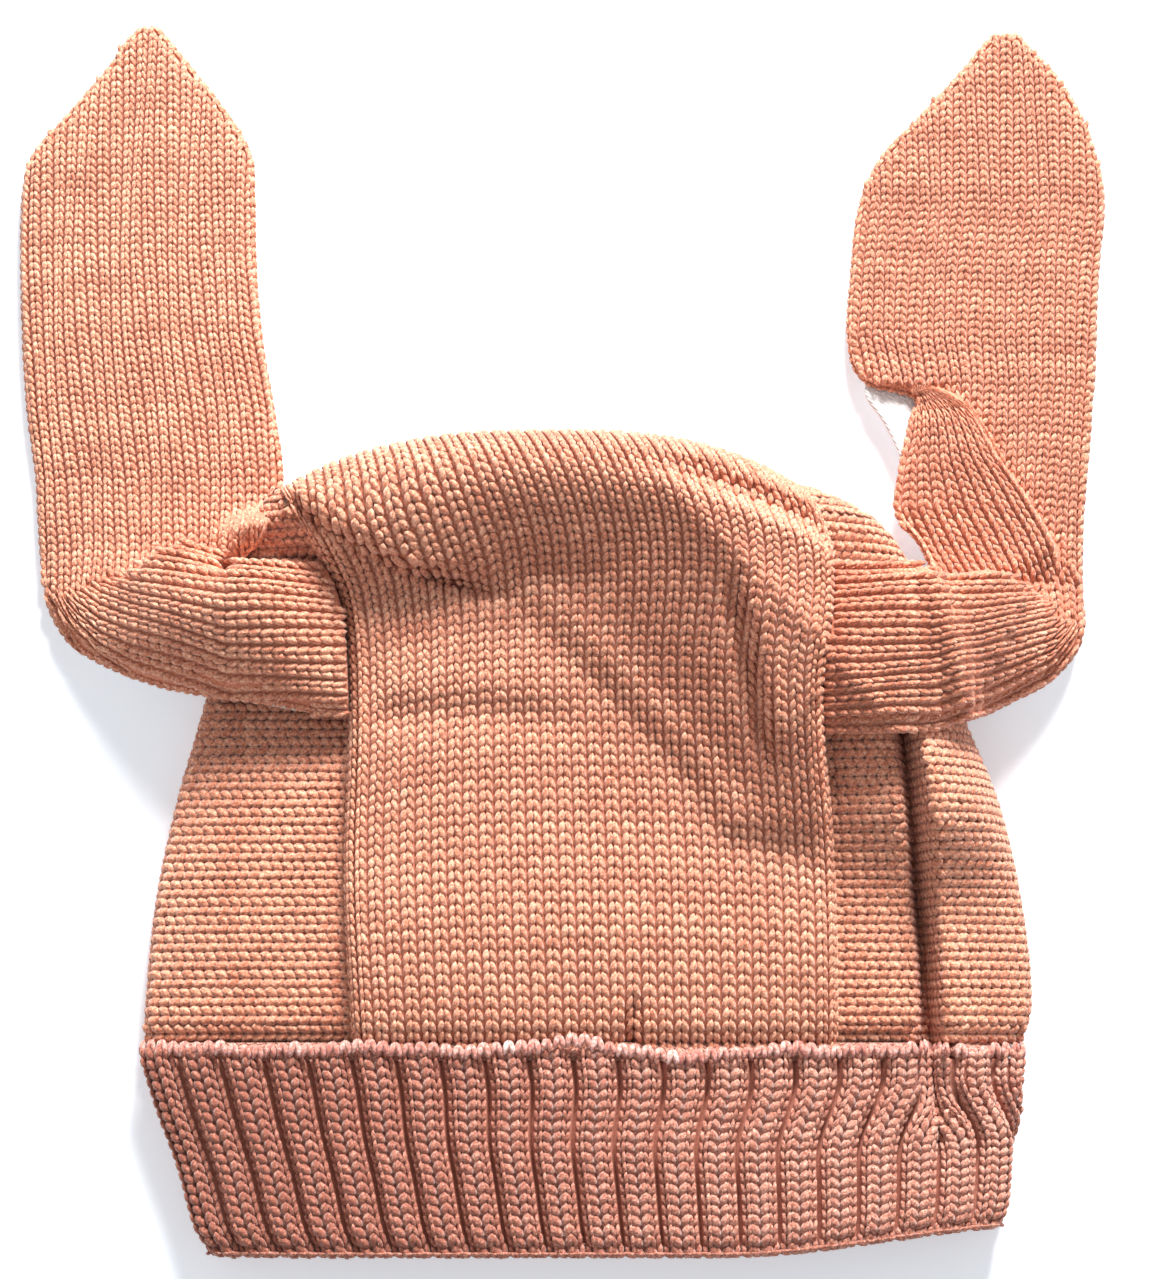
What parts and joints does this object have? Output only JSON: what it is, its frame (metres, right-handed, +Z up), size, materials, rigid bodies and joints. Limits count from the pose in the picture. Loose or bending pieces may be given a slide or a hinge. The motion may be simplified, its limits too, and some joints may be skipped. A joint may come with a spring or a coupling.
{
  "type": "baby hat with ears",
  "caption": "Soft knitted baby hat lying flat, with a ribbed band, a slumped panelled crown and a pair of long lined rabbit ears folded out to the sides.",
  "frame": {"origin": "on the table, under the middle of the whole hat's box", "axes": "+Z up, -Y towards the mouth, +Y towards the ears' tips, +X to the wearer's left as the hat lies"},
  "size_m": [0.2392, 0.269, 0.0366],
  "materials": {
    "knit": "heathered plain knit, matt",
    "rib": "heathered ribbed knit, matt",
    "seam_yarn": "chain seam in a paler yarn, matt",
    "lining": "pale knitted lining, matt"
  },
  "bodies": {
    "root": {"centre_panel": "knit", "side_panel_left": "knit", "side_panel_right": "knit", "ribbed_band": "rib", "linking_seam": "seam_yarn", "ear_left_outer": "knit", "ear_left_lining": "lining", "ear_right_outer": "knit", "ear_right_lining": "lining"}
  },
  "joints": []
}
